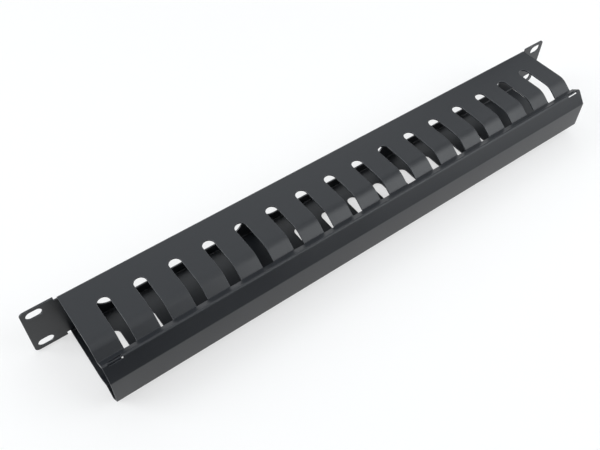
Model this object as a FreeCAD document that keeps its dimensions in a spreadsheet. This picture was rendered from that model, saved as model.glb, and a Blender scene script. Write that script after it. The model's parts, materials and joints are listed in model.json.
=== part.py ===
import FreeCAD, Part
import math
import os
import Sketcher

# Horizontal cable manager for one rack unit. A folded steel duct with rack ears carries two rows of
# fingers that curve in at the front, and a folded cover hooks over the flared fingertips.
# Frame: X along the rack, Y towards the rack rail, Z up. The origin is the middle of the plane where
# the back of the ears meets the rail.

# Driving dimensions in millimetres and degrees
SIZES = {
    # rack panel and its ears
    "panel_width": 482.6,
    "panel_height": 43.6,
    "ear_width": 25.3,
    "ear_corner": 3.0,
    "ear_relief": 2.4,
    "ear_slot_length": 11.0,
    "ear_slot_height": 6.9,
    "ear_slot_inset": 8.75,
    "ear_slot_drop": 5.925,
    # duct section
    "duct_drop": 0.65,
    "duct_sheet": 1.2,
    "duct_bend": 1.0,
    "wall_depth": 41.0,
    "curve_radius": 12.8,
    "finger_angle": 36.0,
    "finger_run": 6.75,
    "tip_bend": 0.8,
    # openings of the duct
    "slot_count": 16,
    "slot_width": 8.7,
    "slot_setback": 17.7,
    "slot_margin": 22.15,
    "window_count": 3,
    "window_height": 24.8,
    "window_gap": 15.6,
    "window_margin": 20.4,
    # cover section
    "cover_sheet": 0.8,
    "cover_bend": 0.6,
    "chamfer_length": 12.55,
    "chamfer_angle": 51.0,
    "lip_length": 7.5,
    "lip_angle": 34.0,
    "mouth_gap": 2.6,
    "lip_clearance": 0.3,
    # stop strips lanced in the lips of the cover, beside its folds
    "strip_push": 0.8,
    "strip_length": 10.0,
    "strip_ramp": 1.5,
    "strip_start": 1.3,
    "strip_width": 1.7,
    "strip_slit": 0.1,
    "strip_mouth": 2.0,
}

document = FreeCAD.newDocument("cable_manager")
sizes = document.addObject("Spreadsheet::Sheet", "sizes")
for row, (alias, number) in enumerate(SIZES.items(), start=1):
    sizes.set(f"A{row}", alias)
    sizes.set(f"B{row}", str(number))
    sizes.setAlias(f"B{row}", alias)
document.recompute()

# Places worked out from the driving dimensions
DUCT_HALF = "(sizes.panel_width / 2 - sizes.ear_width)"
WALL_TOP = "(sizes.panel_height / 2 - sizes.duct_drop)"
BACK_BEND_OUTER = "(sizes.duct_bend + sizes.duct_sheet)"
CURVE_OUTER = "(sizes.curve_radius + sizes.duct_sheet)"
SLOT_PITCH = f"(2 * ({DUCT_HALF} - sizes.slot_margin) / (sizes.slot_count - 1))"
WINDOW_LENGTH = (
    f"((2 * ({DUCT_HALF} - sizes.window_margin) - (sizes.window_count - 1) * sizes.window_gap)"
    " / sizes.window_count)"
)

# The valley is the sharp corner where a finger's outer face meets its flared tip
FINGER_SIN = "sin(sizes.finger_angle * 1 deg)"
FINGER_COS = "cos(sizes.finger_angle * 1 deg)"
LIP_SIN = "sin(sizes.lip_angle * 1 deg)"
LIP_COS = "cos(sizes.lip_angle * 1 deg)"
TIP_TURN = "(sizes.finger_angle + sizes.lip_angle)"
TIP_TANGENT = f"(sizes.tip_bend * tan({TIP_TURN} / 2 * 1 deg))"
VALLEY_DEPTH = f"(sizes.wall_depth + {CURVE_OUTER} * {FINGER_SIN} + sizes.finger_run * {FINGER_COS})"
VALLEY_HEIGHT = f"({WALL_TOP} - {CURVE_OUTER} * (1 - {FINGER_COS}) - sizes.finger_run * {FINGER_SIN})"

# The fold is the sharp outer corner between a lip of the cover and its chamfer. The lip runs parallel
# to the flared tip with a running clearance, and its end stays clear of the finger.
LIP_RISE = "(sizes.lip_clearance + sizes.cover_sheet)"
LIP_SETOFF = (
    f"((sizes.mouth_gap - sizes.lip_clearance * cos({TIP_TURN} * 1 deg)) / sin({TIP_TURN} * 1 deg)"
    " + sizes.lip_length)"
)
FOLD_DEPTH = f"({VALLEY_DEPTH} + {LIP_SETOFF} * {LIP_COS} - {LIP_RISE} * {LIP_SIN})"
FOLD_HEIGHT = f"({VALLEY_HEIGHT} + {LIP_SETOFF} * {LIP_SIN} + {LIP_RISE} * {LIP_COS})"
FACE_DEPTH = f"({FOLD_DEPTH} + sizes.chamfer_length * cos(sizes.chamfer_angle * 1 deg))"
FACE_HALF = f"({FOLD_HEIGHT} - sizes.chamfer_length * sin(sizes.chamfer_angle * 1 deg))"
COVER_BEND_OUTER = "(sizes.cover_bend + sizes.cover_sheet)"
FOLD_TURN = "(sizes.lip_angle + sizes.chamfer_angle)"
FACE_TURN = "(90 - sizes.chamfer_angle)"
FOLD_TANGENT = f"({COVER_BEND_OUTER} * tan({FOLD_TURN} / 2 * 1 deg))"
FACE_TANGENT = f"({COVER_BEND_OUTER} * tan({FACE_TURN} / 2 * 1 deg))"

# The flared tip ends beside the pushed-in strip, which stops it from sliding up to the fold
TIP_FLARE = f"({LIP_SETOFF} - sizes.strip_start - sizes.strip_width - sizes.lip_clearance)"

# Each strip sits over the middle of an end finger
STRIP_INSET = "((sizes.slot_margin - sizes.slot_width / 2) / 2)"

# The sketcher numbers the points of a line or arc upwards from one and its axes down from minus one
BEGIN, FINISH, CENTRE = range(1, 4)
X_AXIS, Y_AXIS = range(-1, -3, -1)
UP = FreeCAD.Vector(0, 0, 1)


def value(expression):
    """The number that an expression over the sizes gives."""
    return float(sizes.evalExpression(expression))


def origin_plane(body, role):
    return next(feature for feature in body.Origin.OriginFeatures if feature.Role == role)


def new_body(label):
    body = document.addObject("PartDesign::Body", label)
    body.Label = label
    return body


def new_sketch(body, name, role, offset=None):
    """A sketch on one of the body's own origin planes, moved along its normal by offset."""
    sketch = body.newObject("Sketcher::SketchObject", name)
    sketch.AttachmentSupport = [(origin_plane(body, role), "")]
    sketch.MapMode = "FlatFace"
    if offset:
        sketch.setExpression(".AttachmentOffset.Base.z", offset)
    return sketch


def dimension(sketch, kind, *places, size):
    """Add a dimension to a sketch and bind it to its expression."""
    is_angle = kind == "Angle"
    start = math.radians(value(size)) if is_angle else value(size)
    index = sketch.addConstraint(Sketcher.Constraint(kind, *places, start))
    name = f"{kind.lower()}_{index}"
    sketch.renameConstraint(index, name)
    sketch.setExpression(f"Constraints.{name}", f"({size}) * 1 deg" if is_angle else size)


def tie(sketch, kind, *places):
    sketch.addConstraint(Sketcher.Constraint(kind, *places))


def pin(sketch, line, end, across, up):
    """Hold a point at a place measured from the origin."""
    for kind, size in (("DistanceX", across), ("DistanceY", up)):
        if value(size) < 0:
            dimension(sketch, kind, line, end, X_AXIS, BEGIN, size=f"-({size})")
        else:
            dimension(sketch, kind, X_AXIS, BEGIN, line, end, size=size)


def point(across, up):
    return FreeCAD.Vector(across, up, 0)


def heading_vector(degrees):
    return point(math.cos(math.radians(degrees)), math.sin(math.radians(degrees)))


def add_line(sketch, start, end):
    return sketch.addGeometry(Part.LineSegment(start, end), False)


def add_arc(sketch, centre, radius, start_degrees, end_degrees):
    circle = Part.Circle(centre, UP, radius)
    arc = Part.ArcOfCircle(circle, math.radians(start_degrees), math.radians(end_degrees))
    return sketch.addGeometry(arc, False)


def folded_section(sketch, sheet, runs, bends, middle_heading, setback):
    """Draw the closed section of a folded sheet that is symmetric about the sketch's X axis.

    The path follows the outer face, with the metal on its left. runs are its straight lengths. bends
    lie between them, each a turn in degrees, positive to the left, and the radius inside the bend. The
    middle run crosses the X axis at setback from the Y axis, in the direction middle_heading.
    """
    middle = len(runs) // 2
    thick = value(sheet)
    headings = [""] * len(runs)
    headings[middle] = f"{middle_heading}"
    for index in range(middle, len(bends)):
        headings[index + 1] = f"{headings[index]} + ({bends[index][0]})"
    for index in range(middle, 0, -1):
        headings[index - 1] = f"{headings[index]} - ({bends[index - 1][0]})"

    # Walk the path once to find every corner, then centre it on the middle run
    place = point(0, 0)
    lines = []
    arcs = []
    for index, length in enumerate(runs):
        heading = value(headings[index])
        end = place + heading_vector(heading) * value(length)
        lines.append((place, end, heading_vector(heading + 90) * thick))
        if index < len(bends):
            turn, inside = value(bends[index][0]), value(bends[index][1])
            side = 1 if turn > 0 else -1
            near = inside + thick if side > 0 else inside
            far = inside if side > 0 else inside + thick
            centre = end + heading_vector(heading + 90) * (side * near)
            begin = heading - 90 * side
            arcs.append((centre, near, far, begin, begin + turn, side))
            place = centre - heading_vector(heading + turn + 90) * (side * near)
    middle_point = (lines[middle][0] + lines[middle][1]) * 0.5
    shift = point(-value(setback), 0) - middle_point

    near_lines = [add_line(sketch, a + shift, b + shift) for a, b, across in lines]
    far_lines = [add_line(sketch, a + across + shift, b + across + shift) for a, b, across in lines]
    for index, (centre, near, far, begin, end, side) in enumerate(arcs):
        first, last = (begin, end) if side > 0 else (end, begin)
        entry, leave = (BEGIN, FINISH) if side > 0 else (FINISH, BEGIN)
        near_arc = add_arc(sketch, centre + shift, near, first, last)
        far_arc = add_arc(sketch, centre + shift, far, first, last)
        for arc, row in ((near_arc, near_lines), (far_arc, far_lines)):
            tie(sketch, "Tangent", row[index], FINISH, arc, entry)
            tie(sketch, "Tangent", arc, leave, row[index + 1], BEGIN)
        tie(sketch, "Coincident", near_arc, CENTRE, far_arc, CENTRE)
        inside = bends[index][1]
        outside = f"{inside} + {sheet}"
        dimension(sketch, "Radius", near_arc, size=outside if side > 0 else inside)
        dimension(sketch, "Radius", far_arc, size=inside if side > 0 else outside)

    for end, run in ((BEGIN, 0), (FINISH, len(runs) - 1)):
        a, b, across = lines[run]
        corner = (a if end == BEGIN else b) + shift
        cap = add_line(sketch, corner, corner + across)
        tie(sketch, "Coincident", cap, BEGIN, near_lines[run], end)
        tie(sketch, "Coincident", cap, FINISH, far_lines[run], end)
        tie(sketch, "Perpendicular", cap, near_lines[run])
        tie(sketch, "Parallel", near_lines[run], far_lines[run])

    for index, length in enumerate(runs):
        dimension(sketch, "Distance", near_lines[index], size=length)
        if index != middle:
            dimension(sketch, "Angle", near_lines[index], size=headings[index])
    tie(sketch, "Symmetric", near_lines[middle], BEGIN, near_lines[middle], FINISH, X_AXIS)
    if value(setback) > 0:
        dimension(sketch, "DistanceX", near_lines[middle], BEGIN, X_AXIS, BEGIN, size=setback)
    else:
        tie(sketch, "PointOnObject", near_lines[middle], BEGIN, Y_AXIS)


def obround(sketch, across, up, length, height):
    """Draw a slot with round ends, its middle at (across, up) and its length along the X axis."""
    half_run = f"({length} - {height}) / 2"
    radius = value(height) / 2
    middle = point(value(across), value(up))
    run = point(value(half_run), 0)
    rise = point(0, radius)
    left = add_arc(sketch, middle - run, radius, 90, 270)
    right = add_arc(sketch, middle + run, radius, -90, 90)
    low = add_line(sketch, middle - run - rise, middle + run - rise)
    high = add_line(sketch, middle + run + rise, middle - run + rise)
    tie(sketch, "Tangent", left, FINISH, low, BEGIN)
    tie(sketch, "Tangent", low, FINISH, right, BEGIN)
    tie(sketch, "Tangent", right, FINISH, high, BEGIN)
    tie(sketch, "Tangent", high, FINISH, left, BEGIN)
    tie(sketch, "Horizontal", low)
    tie(sketch, "Equal", left, right)
    dimension(sketch, "Radius", left, size=f"{height} / 2")
    pin(sketch, left, CENTRE, f"{across} - {half_run}", up)
    dimension(sketch, "DistanceX", left, CENTRE, right, CENTRE, size=f"2 * ({half_run})")


def finger_slot(sketch, across, setback, width, reach):
    """Draw a gap between two fingers: round at the back and open at the front."""
    radius = value(width) / 2
    middle = value(across)
    back = -value(setback) - radius
    front = -value(reach)
    arc = add_arc(sketch, point(middle, back), radius, 0, 180)
    left = add_line(sketch, point(middle - radius, back), point(middle - radius, front))
    low = add_line(sketch, point(middle - radius, front), point(middle + radius, front))
    right = add_line(sketch, point(middle + radius, front), point(middle + radius, back))
    tie(sketch, "Tangent", arc, FINISH, left, BEGIN)
    tie(sketch, "Coincident", left, FINISH, low, BEGIN)
    tie(sketch, "Coincident", low, FINISH, right, BEGIN)
    tie(sketch, "Tangent", right, FINISH, arc, BEGIN)
    tie(sketch, "Vertical", left)
    tie(sketch, "Vertical", right)
    tie(sketch, "Horizontal", low)
    dimension(sketch, "Radius", arc, size=f"{width} / 2")
    pin(sketch, arc, CENTRE, across, f"-({setback}) - {width} / 2")
    dimension(sketch, "DistanceY", low, BEGIN, X_AXIS, BEGIN, size=reach)


def ear_outline(sketch):
    """Draw the right ear: a plate with two round corners, stepped in beside the duct."""
    inner = value(DUCT_HALF)
    step = inner + value("sizes.ear_relief")
    outer = value("sizes.panel_width / 2")
    low_step = value(f"{WALL_TOP} - {BACK_BEND_OUTER}")
    top = value("sizes.panel_height / 2")
    corner = value("sizes.ear_corner")
    joint_line = add_line(sketch, point(inner, -low_step), point(inner, low_step))
    upper_floor = add_line(sketch, point(inner, low_step), point(step, low_step))
    upper_side = add_line(sketch, point(step, low_step), point(step, top))
    upper_edge = add_line(sketch, point(step, top), point(outer - corner, top))
    upper_arc = add_arc(sketch, point(outer - corner, top - corner), corner, 0, 90)
    outer_edge = add_line(sketch, point(outer, top - corner), point(outer, corner - top))
    lower_arc = add_arc(sketch, point(outer - corner, corner - top), corner, -90, 0)
    lower_edge = add_line(sketch, point(outer - corner, -top), point(step, -top))
    lower_side = add_line(sketch, point(step, -top), point(step, -low_step))
    lower_floor = add_line(sketch, point(step, -low_step), point(inner, -low_step))
    chain = [joint_line, upper_floor, upper_side, upper_edge]
    for first, second in zip(chain, chain[1:]):
        tie(sketch, "Coincident", first, FINISH, second, BEGIN)
    chain = [lower_edge, lower_side, lower_floor, joint_line]
    for first, second in zip(chain, chain[1:]):
        tie(sketch, "Coincident", first, FINISH, second, BEGIN)
    tie(sketch, "Tangent", upper_edge, FINISH, upper_arc, FINISH)
    tie(sketch, "Tangent", upper_arc, BEGIN, outer_edge, BEGIN)
    tie(sketch, "Tangent", outer_edge, FINISH, lower_arc, FINISH)
    tie(sketch, "Tangent", lower_arc, BEGIN, lower_edge, BEGIN)
    tie(sketch, "Equal", upper_arc, lower_arc)
    for line in (upper_floor, upper_edge, lower_edge, lower_floor):
        tie(sketch, "Horizontal", line)
    for line in (upper_side, lower_side):
        tie(sketch, "Vertical", line)
    tie(sketch, "Vertical", upper_side, BEGIN, lower_side, BEGIN)
    for line in (joint_line, outer_edge):
        tie(sketch, "Symmetric", line, BEGIN, line, FINISH, X_AXIS)
    dimension(sketch, "Radius", upper_arc, size="sizes.ear_corner")
    dimension(sketch, "DistanceX", X_AXIS, BEGIN, joint_line, BEGIN, size=DUCT_HALF)
    dimension(sketch, "Distance", joint_line, size=f"2 * ({WALL_TOP} - {BACK_BEND_OUTER})")
    dimension(sketch, "DistanceX", upper_floor, BEGIN, upper_floor, FINISH, size="sizes.ear_relief")
    dimension(sketch, "DistanceX", X_AXIS, BEGIN, outer_edge, BEGIN, size="sizes.panel_width / 2")
    dimension(sketch, "DistanceY", X_AXIS, BEGIN, upper_side, FINISH, size="sizes.panel_height / 2")


def lip_patch(sketch, side, along, depth):
    """Draw a slanted rectangle on a lip, measured from the fold.

    along is its stretch down the lip and depth its stretch into the sheet, each a pair of places. side
    is 1 on the upper lip and -1 on the lower.
    """
    corners = []
    for run, sink in ((along[0], depth[0]), (along[1], depth[0]), (along[1], depth[1]), (along[0], depth[1])):
        across = f"-({FOLD_DEPTH}) + ({run}) * {LIP_COS} - ({sink}) * {LIP_SIN}"
        up = f"{side} * ({FOLD_HEIGHT} - ({run}) * {LIP_SIN} - ({sink}) * {LIP_COS})"
        corners.append((across, up))
    places = [point(value(across), value(up)) for across, up in corners]
    lines = [add_line(sketch, places[index], places[(index + 1) % 4]) for index in range(4)]
    for index in range(4):
        tie(sketch, "Coincident", lines[index], FINISH, lines[(index + 1) % 4], BEGIN)
        pin(sketch, lines[index], BEGIN, *corners[index])


def pad(body, sketch, name, length, both_ways=False, reversed_way=False):
    feature = body.newObject("PartDesign::Pad", name)
    feature.Profile = sketch
    feature.SideType = "Symmetric" if both_ways else "One side"
    feature.Reversed = reversed_way
    feature.setExpression("Length", length)
    return feature


def pocket(body, sketch, name, length, both_ways=False, reversed_way=False):
    feature = body.newObject("PartDesign::Pocket", name)
    feature.Profile = sketch
    feature.SideType = "Symmetric" if both_ways else "One side"
    feature.Reversed = reversed_way
    feature.setExpression("Length", length)
    return feature


def row_along_x(body, originals, name, count, spacing):
    """Repeat features along the rack."""
    pattern = body.newObject("PartDesign::LinearPattern", name)
    pattern.Originals = originals
    pattern.Direction = (origin_plane(body, "X_Axis"), [""])
    pattern.Mode = "Spacing"
    pattern.setExpression("Offset", spacing)
    pattern.setExpression("Occurrences", count)
    body.Tip = pattern
    return pattern


def make_duct():
    """The folded steel tray: back panel with ears and windows, two slotted walls with curved fingers."""
    body = new_body("finger_duct")
    duct_length = f"2 * {DUCT_HALF}"

    section = new_sketch(body, "duct_section", "YZ_Plane")
    flare = (f"{TIP_FLARE} - {TIP_TANGENT}", (f"-({TIP_TURN})", "sizes.tip_bend"))
    finger = (f"sizes.finger_run - {TIP_TANGENT}", ("sizes.finger_angle", "sizes.curve_radius"))
    wall = (f"sizes.wall_depth - {BACK_BEND_OUTER}", ("90", "sizes.duct_bend"))
    panel = f"2 * ({WALL_TOP} - {BACK_BEND_OUTER})"
    half = (flare, finger, wall)
    runs = [run for run, bend in half] + [panel] + [run for run, bend in reversed(half)]
    bends = [bend for run, bend in half] + [bend for run, bend in reversed(half)]
    folded_section(section, "sizes.duct_sheet", runs, bends, 90, "0")
    pad(body, section, "folded_sheet", duct_length, both_ways=True)

    slot = new_sketch(body, "slot_outline", "XY_Plane")
    finger_slot(slot, f"sizes.slot_margin - {DUCT_HALF}", "sizes.slot_setback", "sizes.slot_width", FACE_DEPTH)
    slot_cut = pocket(body, slot, "slot_cut", "2 * sizes.panel_height", both_ways=True)
    row_along_x(body, [slot_cut], "slot_row", "sizes.slot_count", SLOT_PITCH)

    window = new_sketch(body, "window_outline", "XZ_Plane")
    first_window = f"sizes.window_margin + {WINDOW_LENGTH} / 2 - {DUCT_HALF}"
    obround(window, first_window, "0", WINDOW_LENGTH, "sizes.window_height")
    window_cut = pocket(body, window, "window_cut", "4 * sizes.duct_sheet", both_ways=True)
    window_spacing = f"{WINDOW_LENGTH} + sizes.window_gap"
    row_along_x(body, [window_cut], "window_row", "sizes.window_count", window_spacing)

    ear = new_sketch(body, "ear_outline", "XZ_Plane")
    ear_outline(ear)
    ear_plate = pad(body, ear, "ear_plate", "sizes.duct_sheet")
    holes = new_sketch(body, "ear_slots", "XZ_Plane")
    hole_across = "sizes.panel_width / 2 - sizes.ear_slot_inset"
    hole_up = "sizes.panel_height / 2 - sizes.ear_slot_drop"
    for side in (1, -1):
        obround(holes, hole_across, f"{side} * ({hole_up})", "sizes.ear_slot_length", "sizes.ear_slot_height")
    ear_holes = pocket(body, holes, "ear_slot_cut", "4 * sizes.duct_sheet", both_ways=True)
    mirrored = body.newObject("PartDesign::Mirrored", "left_ear")
    mirrored.Originals = [ear_plate, ear_holes]
    mirrored.MirrorPlane = (origin_plane(body, "YZ_Plane"), [""])
    body.Tip = mirrored
    return body


def lance_strips(body, level, side):
    """Lance one strip near each end of a lip: a window with a strip pushed in across it.

    The window runs over the fold and opens the top of the chamfer as far down as the mouth says.
    """
    place = f"{STRIP_INSET} - {DUCT_HALF}"
    stop = "sizes.strip_start + sizes.strip_width"
    spacing = f"2 * ({DUCT_HALF} - {STRIP_INSET})"

    window = new_sketch(body, f"{level}_lance_outline", "YZ_Plane", place)
    opening = ("-sizes.cover_sheet", f"{stop} + sizes.strip_slit")
    lip_patch(window, side, opening, ("-sizes.cover_sheet", "sizes.strip_mouth"))
    window_cut = pocket(body, window, f"{level}_lance_cut", "sizes.strip_length", both_ways=True)

    # The strip is flush with the lip at its ends and pushed in between its ramps
    half = "sizes.strip_length / 2"
    stations = (
        ("near_end", f"-{half}", "0"),
        ("near_ramp", f"-{half} + sizes.strip_ramp", "sizes.strip_push"),
        ("far_ramp", f"{half} - sizes.strip_ramp", "sizes.strip_push"),
        ("far_end", half, "0"),
    )
    sections = []
    for name, offset, push in stations:
        sketch = new_sketch(body, f"{level}_strip_{name}", "YZ_Plane", f"{place} + {offset}")
        lip_patch(sketch, side, ("sizes.strip_start", stop), (push, f"{push} + sizes.cover_sheet"))
        sections.append(sketch)
    strip = body.newObject("PartDesign::AdditiveLoft", f"{level}_strip")
    strip.Profile = sections[0]
    strip.Sections = sections[1:]
    strip.Ruled = True
    row_along_x(body, [window_cut, strip], f"{level}_strips", "2", spacing)


def make_cover():
    """The folded cover: flat face, two chamfers and two lips that turn in over the fingertips."""
    body = new_body("snap_cover")
    section = new_sketch(body, "cover_section", "YZ_Plane")
    lip = f"sizes.lip_length - {FOLD_TANGENT}"
    chamfer = f"sizes.chamfer_length - {FOLD_TANGENT} - {FACE_TANGENT}"
    face = f"2 * ({FACE_HALF} - {FACE_TANGENT})"
    fold = (FOLD_TURN, "sizes.cover_bend")
    edge = (FACE_TURN, "sizes.cover_bend")
    runs = [lip, chamfer, face, chamfer, lip]
    folded_section(section, "sizes.cover_sheet", runs, [fold, edge, edge, fold], 270, FACE_DEPTH)
    pad(body, section, "folded_sheet_cover", f"2 * {DUCT_HALF}", both_ways=True)
    lance_strips(body, "upper", 1)
    lance_strips(body, "lower", -1)
    return body


def check(bodies):
    """Stop if any feature failed or any piece is not one sound solid."""
    for item in document.Objects:
        if "Invalid" in item.State or "Error" in item.State:
            raise RuntimeError(f"{item.Name} failed: {item.State}")
        if item.TypeId == "Sketcher::SketchObject" and not item.FullyConstrained:
            raise RuntimeError(f"{item.Name} is not fully constrained")
    for body in bodies:
        shape = body.Shape
        if shape.isNull() or not shape.isValid() or len(shape.Solids) != 1:
            raise RuntimeError(f"{body.Label} is not one sound solid")


pieces = [make_duct(), make_cover()]
document.recompute()
check(pieces)

os.makedirs("parts", exist_ok=True)
for piece in pieces:
    piece.Shape.exportStep(f"parts/{piece.Label}.step")
    box = piece.Shape.BoundBox
    print(piece.Label, "volume", round(piece.Shape.Volume), "faces", len(piece.Shape.Faces),
          "x", round(box.XMin, 2), round(box.XMax, 2), "y", round(box.YMin, 2), round(box.YMax, 2),
          "z", round(box.ZMin, 2), round(box.ZMax, 2))
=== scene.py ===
# %% [markdown]
# # A horizontal cable manager in black powder coat
#
# The object fills one unit of a server rack. One folded steel sheet makes the duct, with two ears that
# screw to the rack and two rows of fingers that curve in at the front. A second folded sheet hooks over
# the fingertips as a cover. Both sheets arrive here as a fixed frame at their real size, so this file is
# about the finish: soft edges, a satin powder coat, and light that shows the folds. Lengths are in metres,
# and a small one is written as so many times a millimetre.

# %% Load the fixed frame
import json
import math

import bmesh
import bpy
from mathutils import Euler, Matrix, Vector

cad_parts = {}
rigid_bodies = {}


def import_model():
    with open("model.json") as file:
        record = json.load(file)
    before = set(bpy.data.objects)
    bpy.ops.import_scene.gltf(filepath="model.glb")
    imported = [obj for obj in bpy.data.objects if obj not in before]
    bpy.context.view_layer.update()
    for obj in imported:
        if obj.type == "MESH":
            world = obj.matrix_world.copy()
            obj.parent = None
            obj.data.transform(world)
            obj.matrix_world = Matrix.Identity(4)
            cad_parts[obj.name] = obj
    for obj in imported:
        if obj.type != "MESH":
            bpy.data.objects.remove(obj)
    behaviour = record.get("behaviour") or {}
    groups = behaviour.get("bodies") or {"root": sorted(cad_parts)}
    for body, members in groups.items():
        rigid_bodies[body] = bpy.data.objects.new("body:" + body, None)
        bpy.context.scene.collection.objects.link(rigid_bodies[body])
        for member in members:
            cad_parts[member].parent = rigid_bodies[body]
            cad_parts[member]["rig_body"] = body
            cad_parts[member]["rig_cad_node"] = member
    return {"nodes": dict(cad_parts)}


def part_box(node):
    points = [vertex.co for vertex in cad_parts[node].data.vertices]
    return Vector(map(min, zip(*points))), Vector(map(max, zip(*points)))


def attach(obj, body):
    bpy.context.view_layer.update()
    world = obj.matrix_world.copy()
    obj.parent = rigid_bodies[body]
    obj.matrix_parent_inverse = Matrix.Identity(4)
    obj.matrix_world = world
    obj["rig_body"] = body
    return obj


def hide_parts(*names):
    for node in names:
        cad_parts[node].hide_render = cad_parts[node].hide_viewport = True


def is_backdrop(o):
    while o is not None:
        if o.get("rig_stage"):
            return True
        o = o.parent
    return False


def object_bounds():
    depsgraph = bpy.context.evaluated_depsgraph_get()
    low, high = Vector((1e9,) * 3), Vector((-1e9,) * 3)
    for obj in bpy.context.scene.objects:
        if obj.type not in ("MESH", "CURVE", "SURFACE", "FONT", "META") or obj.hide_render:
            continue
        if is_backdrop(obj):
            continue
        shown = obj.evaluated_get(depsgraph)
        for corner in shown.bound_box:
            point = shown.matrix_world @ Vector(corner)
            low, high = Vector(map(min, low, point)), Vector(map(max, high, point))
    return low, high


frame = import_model()
cad_low, cad_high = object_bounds()
MILLIMETRE = 0.001
print("The object spans", [round(size / MILLIMETRE, 1) for size in cad_high - cad_low], "mm")

# %% [markdown]
# ## The camera
#
# The camera comes first, because every later choice is judged through it. It stands above the left ear
# and looks down along the row of fingers. A focal length a little longer than normal keeps the far end
# from shrinking too much. The three angles turn a camera that starts by looking straight down: tilt it
# up, roll it slightly, then swing it to the right.

# %% Place the camera
CAMERA_PLACE = (-251.72 * MILLIMETRE, -293.68 * MILLIMETRE, 408.83 * MILLIMETRE)
CAMERA_ANGLES = (39.273, -1.136, -36.661)
FOCAL_LENGTH = 43.72

camera = bpy.data.objects.new("camera", bpy.data.cameras.new("camera"))
bpy.context.scene.collection.objects.link(camera)
camera.location = CAMERA_PLACE
camera.rotation_euler = [math.radians(angle) for angle in CAMERA_ANGLES]
camera.data.lens = FOCAL_LENGTH
bpy.context.scene.camera = camera
print("The camera stands", round(camera.location.length, 3), "m from the middle of the back panel")

# %% [markdown]
# ## Two sheets with soft edges
#
# A real sheet is never sharp once it is coated: the powder melts and rounds every cut edge. A bevel
# modifier can round an edge only where faces share it, and a loaded node is a heap of loose triangles.
# So each sheet is copied, its doubled points are merged, and flat regions are joined into single faces.
# Only then is the bevel added. Edges are chosen by their angle, so the cut edges are rounded and the
# folds, which are round already, are left alone. Inward corners stay sharp, and so do the short edges at
# the ends of the lanced strips, where two roundings would run into each other. The modifier's own guard
# against that is switched off, because it narrows every rounding to suit the shortest edge. The rounding
# may lean out of a flat side by a hundredth of a millimetre, and a finish must not make the part larger,
# so such points are pulled back.

# %% A helper that copies a node and joins its triangles
MERGE_DISTANCE = 0.002 * MILLIMETRE
FLAT_ANGLE = math.radians(0.5)


def select_only(piece):
    """Select one piece and nothing else, because an operator acts on all that is selected."""
    bpy.ops.object.select_all(action="DESELECT")
    piece.select_set(True)
    bpy.context.view_layer.objects.active = piece


def joined_copy(node, name):
    """A copy of a loaded node, free of its marks, with shared points and whole flat faces."""
    piece = frame["nodes"][node].copy()
    piece.data = piece.data.copy()
    piece.name = name
    piece.parent = None
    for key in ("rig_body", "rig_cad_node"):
        del piece[key]
    bpy.context.scene.collection.objects.link(piece)
    select_only(piece)
    bpy.ops.object.mode_set(mode="EDIT")
    bpy.ops.mesh.select_all(action="SELECT")
    bpy.ops.mesh.customdata_custom_splitnormals_clear()
    bpy.ops.mesh.remove_doubles(threshold=MERGE_DISTANCE)
    bpy.ops.mesh.dissolve_limited(angle_limit=FLAT_ANGLE)
    bpy.ops.object.mode_set(mode="OBJECT")
    print(name, "has", len(piece.data.polygons), "faces after joining")
    return piece


# %% A helper that marks the cut edges
CUT_ANGLE = math.radians(60)
STRIP_LENGTH = 10 * MILLIMETRE
STRIP_FROM_END = 3.9 * MILLIMETRE
SAME_PLACE = 0.05 * MILLIMETRE

cover_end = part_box("snap_cover")[1][0]
strip_outer_end = cover_end - STRIP_FROM_END
strip_ends = (strip_outer_end - STRIP_LENGTH, strip_outer_end)
print("The strips run between", [round(end / MILLIMETRE, 1) for end in strip_ends], "mm")


def at_strip_end(edge):
    """Whether an edge runs across the end of a lanced strip."""
    places = [abs(point.co.x) for point in edge.verts]
    return any(max(abs(place - end) for place in places) < SAME_PLACE for end in strip_ends)


def mark_cut_edges(piece):
    """Give a bevel weight to the outward edges that are sharper than a fold."""
    mesh = bmesh.new()
    mesh.from_mesh(piece.data)
    weight = mesh.edges.layers.float.new("bevel_weight_edge")
    for edge in mesh.edges:
        if edge.calc_face_angle_signed() > CUT_ANGLE and not at_strip_end(edge):
            edge[weight] = 1
    mesh.to_mesh(piece.data)
    mesh.free()


# %% Round the cut edges
EDGE_ROUND = 0.2 * MILLIMETRE
EDGE_STEPS = 2
# The rounding gets the second material, whose lighter tone is a painted highlight.
EDGE_HIGHLIGHT_SLOT = 1
SMOOTH_ANGLE = math.radians(50)


def soften_edges(piece):
    """Round the cut edges, paint the rounding with the lighter highlight material, and shade the folds
    smoothly.
    """
    mark_cut_edges(piece)
    select_only(piece)
    bpy.ops.object.shade_smooth_by_angle(angle=SMOOTH_ANGLE)
    bevel = piece.modifiers.new("coat_round", "BEVEL")
    bevel.width = EDGE_ROUND
    bevel.segments = EDGE_STEPS
    bevel.limit_method = "WEIGHT"
    bevel.use_clamp_overlap = False
    bevel.harden_normals = True
    bevel.material = EDGE_HIGHLIGHT_SLOT
    bpy.ops.object.modifier_apply(modifier="coat_round")
    print(piece.name, "has", len(piece.data.polygons), "faces after rounding")


# %% A helper that keeps a piece inside a box


def keep_inside(piece, low, high):
    """Pull every point that leans out of the box back to its side."""
    furthest = 0
    for point in piece.data.vertices:
        inside = [min(max(place, least), most) for place, least, most in zip(point.co, low, high)]
        furthest = max(furthest, (point.co - Vector(inside)).length)
        point.co = inside
    print(piece.name, "leaned out by", round(furthest / MILLIMETRE, 4), "mm at most")
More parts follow.
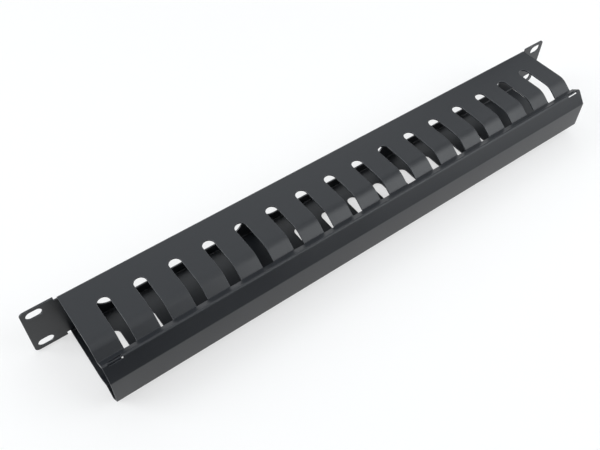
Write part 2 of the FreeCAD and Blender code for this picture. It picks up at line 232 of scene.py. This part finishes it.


# %% [markdown]
# ## Powder coat
#
# Powder coat is sprayed on dry and melted into a skin about a tenth of a millimetre thick. Seen close it
# is slightly pebbled, which spreads each highlight into a satin glow. The pebbles could be modelled, but
# they are finer than any face here, so noise drives a bump. Slow noise varies the roughness a little,
# because no coat has the same gloss all over. Both sheets use the effect, so it is one node group. On the
# rounded edges the powder is thin and catches the light, and a second material paints them a much
# lighter tone: a painted highlight along every cut edge.

# %% The group for the pebbled coat
PEBBLES_PER_METRE = 1900
PEBBLE_DETAIL = 2
CLOUDS_PER_METRE = 14
CLOUD_DETAIL = 4
CLOUD_LOW = 0.3
CLOUD_HIGH = 0.7


def make_coat_group():
    """Colour, roughness and height of a powder coat that vary over the surface."""
    group = bpy.data.node_groups.new("powder_coat", "ShaderNodeTree")
    add = group.interface.new_socket
    add(name="Deep", in_out="INPUT", socket_type="NodeSocketColor")
    add(name="Raised", in_out="INPUT", socket_type="NodeSocketColor")
    add(name="Smoothest", in_out="INPUT", socket_type="NodeSocketFloat")
    add(name="Roughest", in_out="INPUT", socket_type="NodeSocketFloat")
    add(name="Colour", in_out="OUTPUT", socket_type="NodeSocketColor")
    add(name="Roughness", in_out="OUTPUT", socket_type="NodeSocketFloat")
    add(name="Height", in_out="OUTPUT", socket_type="NodeSocketFloat")
    nodes = group.nodes
    link = group.links.new
    entry = nodes.new("NodeGroupInput")
    leave = nodes.new("NodeGroupOutput")
    place = nodes.new("ShaderNodeTexCoord")

    pebbles = nodes.new("ShaderNodeTexNoise")
    pebbles.inputs["Scale"].default_value = PEBBLES_PER_METRE
    pebbles.inputs["Detail"].default_value = PEBBLE_DETAIL
    link(place.outputs["Object"], pebbles.inputs["Vector"])
    clouds = nodes.new("ShaderNodeTexNoise")
    clouds.inputs["Scale"].default_value = CLOUDS_PER_METRE
    clouds.inputs["Detail"].default_value = CLOUD_DETAIL
    link(place.outputs["Object"], clouds.inputs["Vector"])

    tint = nodes.new("ShaderNodeMix")
    tint.data_type = "RGBA"
    link(pebbles.outputs["Fac"], tint.inputs["Factor"])
    link(entry.outputs["Deep"], tint.inputs["A"])
    link(entry.outputs["Raised"], tint.inputs["B"])
    link(tint.outputs["Result"], leave.inputs["Colour"])

    gloss = nodes.new("ShaderNodeMapRange")
    gloss.inputs["From Min"].default_value = CLOUD_LOW
    gloss.inputs["From Max"].default_value = CLOUD_HIGH
    link(clouds.outputs["Fac"], gloss.inputs["Value"])
    link(entry.outputs["Smoothest"], gloss.inputs["To Min"])
    link(entry.outputs["Roughest"], gloss.inputs["To Max"])
    link(gloss.outputs["Result"], leave.inputs["Roughness"])
    link(pebbles.outputs["Fac"], leave.inputs["Height"])
    return group


coat_group = make_coat_group()
effects = [item.name for item in coat_group.interface.items_tree if item.in_out == "OUTPUT"]
print("The coat group puts out", effects)

# %% A material that uses the group
PEBBLE_HEIGHT = 0.02 * MILLIMETRE


def coat_material(name, deep, raised, smoothest, roughest, bump):
    """A powder coat between two tones and two roughnesses, with pebbles of the given strength."""
    material = bpy.data.materials.new(name)
    material.use_nodes = True
    nodes = material.node_tree.nodes
    link = material.node_tree.links.new
    shader = nodes["Principled BSDF"]
    coat = nodes.new("ShaderNodeGroup")
    coat.node_tree = coat_group
    coat.inputs["Deep"].default_value = (*deep, 1)
    coat.inputs["Raised"].default_value = (*raised, 1)
    coat.inputs["Smoothest"].default_value = smoothest
    coat.inputs["Roughest"].default_value = roughest
    relief = nodes.new("ShaderNodeBump")
    relief.inputs["Strength"].default_value = bump
    relief.inputs["Distance"].default_value = PEBBLE_HEIGHT
    link(coat.outputs["Colour"], shader.inputs["Base Color"])
    link(coat.outputs["Roughness"], shader.inputs["Roughness"])
    link(coat.outputs["Height"], relief.inputs["Height"])
    link(relief.outputs["Normal"], shader.inputs["Normal"])
    return material


sheet_coat = coat_material(
    "sheet_powder_coat",
    deep=(0.008, 0.0095, 0.0125),
    raised=(0.014, 0.0165, 0.0205),
    smoothest=0.34,
    roughest=0.40,
    bump=0.5,
)
# Lighter than the sheet, so that the rounded edges carry a painted highlight.
edge_highlight_coat = coat_material(
    "edge_painted_highlight",
    deep=(0.05, 0.053, 0.059),
    raised=(0.09, 0.094, 0.102),
    smoothest=0.26,
    roughest=0.32,
    bump=0.35,
)
print("Mixed", sheet_coat.name, "and", edge_highlight_coat.name)

# %% [markdown]
# ## Dressing the duct and the cover
#
# The duct screws to the rack, and the cover slides along its fingertips. They move apart, so each dressed
# sheet rides on its own body. The loaded solids have the right shape already, with every fold, slot and
# window, and modelling them again would only add errors. So each sheet is a copy of its solid with
# rounded edges and two coats: the first for the sheet, the second a lighter one for the rounding that the
# bevel adds, which paints a highlight on every cut edge.

# %% Dress both sheets
SHEETS = (
    ("finger_duct", "duct_sheet", "duct"),
    ("snap_cover", "cover_sheet", "cover"),
)

for node, name, body in SHEETS:
    sheet = joined_copy(node, name)
    sheet.data.materials.clear()
    sheet.data.materials.append(sheet_coat)
    sheet.data.materials.append(edge_highlight_coat)
    soften_edges(sheet)
    keep_inside(sheet, *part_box(node))
    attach(sheet, body)
    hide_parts(node)

# %% [markdown]
# ## A white floor
#
# The object lies on plain white paper. White paper under soft light still renders pale grey, and stronger
# lamps would bleach the object too. So to the camera the floor is partly a glow of exactly white, mixed
# with enough real paint to keep the shadow. Glossy rays see the same floor, or the coat would reflect
# another room than the picture shows. Far from the object no shadow falls, and there the glow takes over,
# so the floor meets the white backdrop without an edge.

# %% Two helpers for choosing by the kind of ray


def combine(tree, operation, first, second):
    """One step of arithmetic on two sockets, as the socket that holds the result."""
    step = tree.nodes.new("ShaderNodeMath")
    step.operation = operation
    tree.links.new(first, step.inputs[0])
    tree.links.new(second, step.inputs[1])
    return step.outputs[0]


def any_of(tree, *kinds):
    """A socket that is one for rays of the named kinds and zero for all others."""
    path = tree.nodes.new("ShaderNodeLightPath")
    seen = path.outputs[kinds[0]]
    for kind in kinds[1:]:
        seen = combine(tree, "MAXIMUM", seen, path.outputs[kind])
    return seen


# %% The floor
FLOOR_SIDE = 8.0
FLOOR_WHITE = 0.9
FLOOR_ROUGHNESS = 0.9
GLOW_NEAR = 0.6
SHADOW_ENDS = 0.5
GLOW_ALONE = 1.6

bpy.ops.object.select_all(action="DESELECT")
bpy.ops.mesh.primitive_plane_add(size=FLOOR_SIDE, location=(0, 0, cad_low.z))
floor = bpy.context.active_object
floor.name = "floor"
floor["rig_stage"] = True
paper = bpy.data.materials.new("white_paper")
paper.use_nodes = True
floor.data.materials.append(paper)
tree = paper.node_tree
paint = tree.nodes["Principled BSDF"]
paint.inputs["Base Color"].default_value = (FLOOR_WHITE, FLOOR_WHITE, FLOOR_WHITE, 1)
paint.inputs["Roughness"].default_value = FLOOR_ROUGHNESS
glow = tree.nodes.new("ShaderNodeEmission")

spot = tree.nodes.new("ShaderNodeTexCoord")
distance = tree.nodes.new("ShaderNodeVectorMath")
distance.operation = "LENGTH"
tree.links.new(spot.outputs["Object"], distance.inputs[0])
share = tree.nodes.new("ShaderNodeMapRange")
share.inputs["From Min"].default_value = SHADOW_ENDS
share.inputs["From Max"].default_value = GLOW_ALONE
share.inputs["To Min"].default_value = GLOW_NEAR
tree.links.new(distance.outputs["Value"], share.inputs["Value"])
seen = any_of(tree, "Is Camera Ray", "Is Glossy Ray", "Is Transmission Ray")
seen_share = combine(tree, "MULTIPLY", share.outputs["Result"], seen)

blend = tree.nodes.new("ShaderNodeMixShader")
tree.links.new(seen_share, blend.inputs["Fac"])
tree.links.new(paint.outputs["BSDF"], blend.inputs[1])
tree.links.new(glow.outputs["Emission"], blend.inputs[2])
tree.links.new(blend.outputs["Shader"], tree.nodes["Material Output"].inputs["Surface"])
print("The floor lies at", round(cad_low.z / MILLIMETRE, 1), "mm")

# %% [markdown]
# ## The room
#
# The room itself is dim, because the lamps do the lighting. The camera sees a white backdrop instead of
# it. Glossy rays see that backdrop too, but only as a band around the horizon. In a real studio the
# ceiling above the backdrop is dark, and it is that darkness which makes the slanted part of the cover
# read as black.

# %% The backdrop and the dim room
ROOM_LIGHT = 0.05
BAND_FULL_BELOW = 0.02
BAND_GONE_ABOVE = 0.22

world = bpy.data.worlds.new("room")
bpy.context.scene.world = world
world.use_nodes = True
tree = world.node_tree
room = tree.nodes["Background"]
room.inputs["Color"].default_value = (1, 1, 1, 1)
room.inputs["Strength"].default_value = ROOM_LIGHT
backdrop = tree.nodes.new("ShaderNodeBackground")
backdrop.inputs["Color"].default_value = (1, 1, 1, 1)

direction = tree.nodes.new("ShaderNodeTexCoord")
axes = tree.nodes.new("ShaderNodeSeparateXYZ")
tree.links.new(direction.outputs["Generated"], axes.inputs["Vector"])
band = tree.nodes.new("ShaderNodeMapRange")
band.inputs["From Min"].default_value = BAND_GONE_ABOVE
band.inputs["From Max"].default_value = BAND_FULL_BELOW
tree.links.new(axes.outputs["Z"], band.inputs["Value"])
bounced = any_of(tree, "Is Glossy Ray", "Is Transmission Ray")
band_share = combine(tree, "MULTIPLY", band.outputs["Result"], bounced)
backdrop_share = combine(tree, "MAXIMUM", band_share, any_of(tree, "Is Camera Ray"))

blend = tree.nodes.new("ShaderNodeMixShader")
tree.links.new(backdrop_share, blend.inputs["Fac"])
tree.links.new(room.outputs["Background"], blend.inputs[1])
tree.links.new(backdrop.outputs["Background"], blend.inputs[2])
tree.links.new(blend.outputs["Shader"], tree.nodes["World Output"].inputs["Surface"])
print("The room gives", ROOM_LIGHT, "of full white")

# %% [markdown]
# ## Soft lamps
#
# A satin black surface has almost no colour of its own. What the eye reads as its shape is the reflection
# of the lamps, so each lamp is there for one surface. The large back lamp and the top lamp lie where the
# flat wall mirrors the camera. The two front lamps give the curved finger ends their bright band and let
# the slanted cover brighten towards the right. The right lamp fills the gap between them and the back
# lamp, and the left lamp draws the thin light lines on the edges of the slots. All stay weak enough for
# a colour to render about as it is written.

# %% Place the lamps around the object
LAMP_WHITE = (0.95, 0.98, 1.0)

middle = (cad_low + cad_high) / 2


def soft_lamp(name, around, above, away, side, watts):
    """A square lamp that faces the object. Around is 0 in front of it and 90 at its right end."""
    lamp = bpy.data.objects.new(name, bpy.data.lights.new(name, "AREA"))
    bpy.context.scene.collection.objects.link(lamp)
    lamp.data.size = side
    lamp.data.energy = watts
    lamp.data.color = LAMP_WHITE
    turn = Euler((math.radians(90 - above), 0, math.radians(around)))
    lamp.rotation_euler = turn
    lamp.location = middle + turn.to_matrix() @ Vector((0, 0, away))
    print(name, "gives", watts, "W from", away, "m")


soft_lamp("back_lamp", around=163, above=44, away=2.2, side=2.4, watts=20)
soft_lamp("top_lamp", around=0, above=80, away=1.8, side=1.6, watts=10.5)
soft_lamp("left_lamp", around=-115, above=30, away=1.6, side=0.9, watts=16)
soft_lamp("right_lamp", around=98, above=36, away=1.4, side=0.9, watts=2.6)
soft_lamp("front_right_lamp", around=55, above=30, away=1.6, side=1.0, watts=5.3)
soft_lamp("near_lamp", around=40, above=42, away=1.1, side=0.7, watts=3.9)

# %% [markdown]
# ## Colour and size
#
# The Standard view transform shows each colour as it is written. The size of the dressed object is
# printed beside the size of the frame, to show that the finish added nothing.

# %% Finish
bpy.context.scene.view_settings.view_transform = "Standard"

dressed_low, dressed_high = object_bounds()
dressed_size = [round(size / MILLIMETRE, 1) for size in dressed_high - dressed_low]
print("The dressed object spans", dressed_size, "mm")
